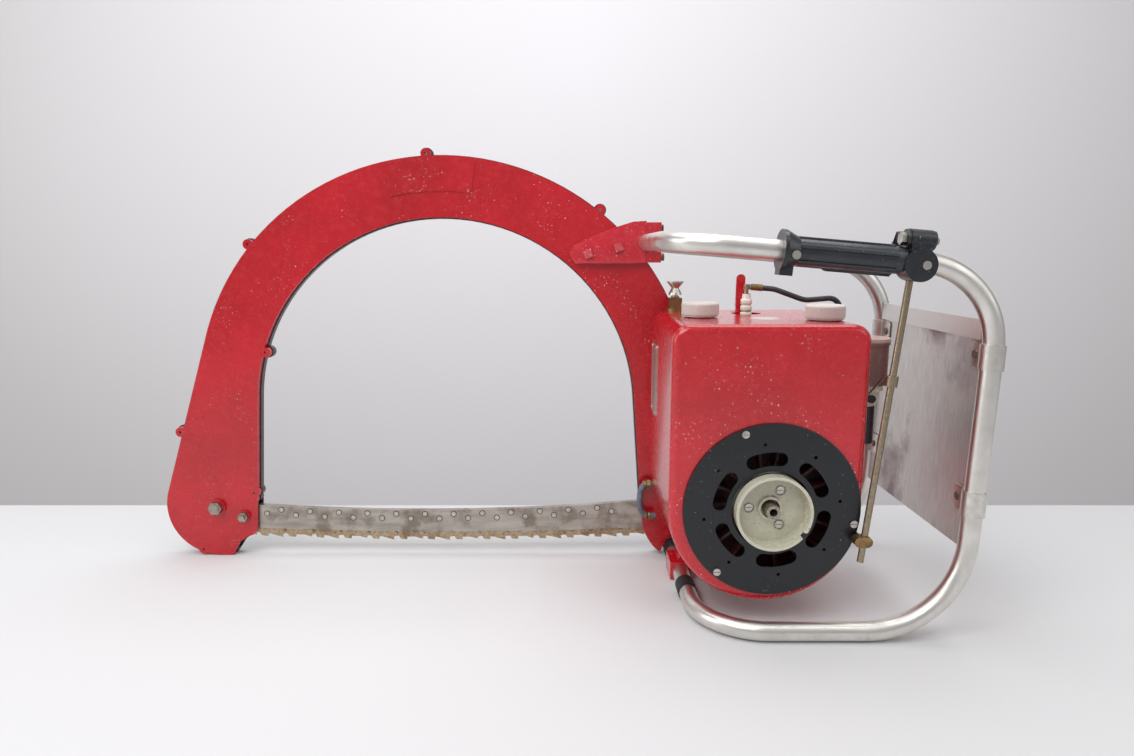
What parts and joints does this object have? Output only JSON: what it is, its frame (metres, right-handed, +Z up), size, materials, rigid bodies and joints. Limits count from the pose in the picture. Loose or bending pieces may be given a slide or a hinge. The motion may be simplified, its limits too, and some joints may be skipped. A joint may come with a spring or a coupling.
{
  "type": "bow chainsaw",
  "caption": "Petrol bow chainsaw: a saw chain runs round a hollow bow and a riveted cutting bar, driven by a cup-started engine in a bent tube sled.",
  "frame": {"origin": "under the middle of the whole saw's bounding box, on the surface it rests on", "axes": "+X from the nose to the operator's end, +Y from the fan side to the bow's far side, +Z up"},
  "size_m": [1.0539, 0.3268, 0.579],
  "materials": {
    "red_paint": "worn gloss",
    "black_paint": "worn satin",
    "grey_tube": "dull, scuffed",
    "plain_steel": "satin",
    "dark_steel": "oiled",
    "saw_steel": "rust tinted",
    "bright_alloy": "dull",
    "brass": "tarnished",
    "cream_paint": "worn satin",
    "brown_paint": "worn satin",
    "black_cable": "matt",
    "black_sleeve": "matt",
    "ceramic": "glazed"
  },
  "bodies": {
    "saw": {"bow_cover": "red_paint", "bow_rear_plate": "black_paint", "bow_cover_screws": "plain_steel", "bow_bracket": "red_paint", "bracket_clamp_cap": "red_paint", "bracket_bolts": "dark_steel", "clamp_bolts": "plain_steel", "nose_axle_bolt": "plain_steel", "stud_nuts": "plain_steel", "bar_near_plate": "saw_steel", "bar_core_plate": "saw_steel", "bar_far_plate": "saw_steel", "bar_rivets": "plain_steel", "bar_studs": "plain_steel", "chain_drive_links": "saw_steel", "chain_cutter_links": "saw_steel", "tail_bolts": "plain_steel", "engine_housing": "red_paint", "crankcase": "bright_alloy", "engine_cylinder": "bright_alloy", "muffler": "dark_steel", "spark_plug": "ceramic", "plug_lead": "black_cable", "twin_tank": "bright_alloy", "oiler_body": "brass", "fan_cover": "black_paint", "fan_cover_screws": "plain_steel", "magneto_coil": "dark_steel", "gear_case": "bright_alloy", "carburettor": "cream_paint", "air_cleaner": "brown_paint", "float_bowl": "black_paint", "oil_hose": "black_cable", "near_tube": "grey_tube", "far_tube": "grey_tube", "sled_sleeves": "black_sleeve", "sled_clamp": "red_paint", "grip_near_half": "black_paint", "grip_far_half": "black_paint", "grip_screws": "plain_steel", "rod_guide": "brass", "heat_shield": "bright_alloy", "shield_clamps": "bright_alloy", "shield_bolts": "plain_steel"},
    "crank": {"crankshaft": "plain_steel", "flywheel": "bright_alloy", "starter_cup": "cream_paint", "starter_screws": "plain_steel", "pinion": "plain_steel"},
    "drive_shaft": {"drive_gear": "plain_steel", "sprocket_shaft": "plain_steel", "sprocket": "plain_steel"},
    "nose_roller": {"nose_wheel": "plain_steel"},
    "fuel_filler": {"fuel_cap": "bright_alloy"},
    "oil_filler": {"oil_cap": "bright_alloy"},
    "oiler": {"oiler_plunger": "brass"},
    "choke": {"choke_lever": "red_paint"},
    "trigger": {"throttle_trigger": "black_paint"},
    "rod": {"throttle_rod": "plain_steel"},
    "throttle_shaft": {"throttle_arm": "plain_steel"}
  },
  "joints": [
    {"name": "crank_spin", "type": "hinge", "parent": "saw", "child": "crank", "pos_m": [0.29204, -0.07945, 0.146], "axis": [0, 1, 0], "continuous": true},
    {"name": "sprocket_spin", "type": "hinge", "parent": "saw", "child": "drive_shaft", "pos_m": [0.23237, 0.11655, 0.11779], "axis": [0, 1, 0], "continuous": true, "deforming": ["chain_drive_links"]},
    {"name": "nose_wheel_spin", "type": "hinge", "parent": "saw", "child": "nose_roller", "pos_m": [-0.45196, 0.11655, 0.074], "axis": [0, 1, 0], "continuous": true},
    {"name": "fuel_cap_turn", "type": "hinge", "parent": "saw", "child": "fuel_filler", "pos_m": [0.36204, -0.05145, 0.36], "axis": [0, 0, 1], "range_deg": [0, 540]},
    {"name": "oil_cap_turn", "type": "hinge", "parent": "saw", "child": "oil_filler", "pos_m": [0.22104, -0.00945, 0.36], "axis": [0, 0, 1], "range_deg": [0, 540]},
    {"name": "oiler_press", "type": "slide", "parent": "saw", "child": "oiler", "axis": [0, 0, 1], "range_m": [0, 0.0115], "stiffness_N_per_m": 250, "springref_m": -0.004},
    {"name": "choke_swing", "type": "hinge", "parent": "saw", "child": "choke", "pos_m": [0.28904, 0.07855, 0.369], "axis": [0, 1, 0], "range_deg": [-20, 20]},
    {"name": "trigger_pull", "type": "hinge", "parent": "saw", "child": "trigger", "pos_m": [0.42594, -0.14145, 0.45242], "axis": [-0.9964, 0, 0.0847], "range_deg": [0, 15], "stiffness_Nm_per_rad": 0.8, "springref_deg": -20.05},
    {"name": "rod_lift", "type": "slide", "parent": "saw", "child": "rod", "axis": [-0.102, 0.0004, -0.9948], "range_m": [0, 0.0046]},
    {"name": "throttle_turn", "type": "hinge", "parent": "saw", "child": "throttle_shaft", "pos_m": [0.43104, -0.00345, 0.261], "axis": [0, -1, 0], "range_deg": [0, 18.6]}
  ],
  "couplings": [
    {"joint": "sprocket_spin", "follows": "crank_spin", "ratio": -0.66667},
    {"joint": "nose_wheel_spin", "follows": "crank_spin", "ratio": -0.97296},
    {"joint": "rod_lift", "follows": "trigger_pull", "m_per_rad": 0.017},
    {"joint": "throttle_turn", "follows": "trigger_pull", "ratio": 1.21}
  ]
}
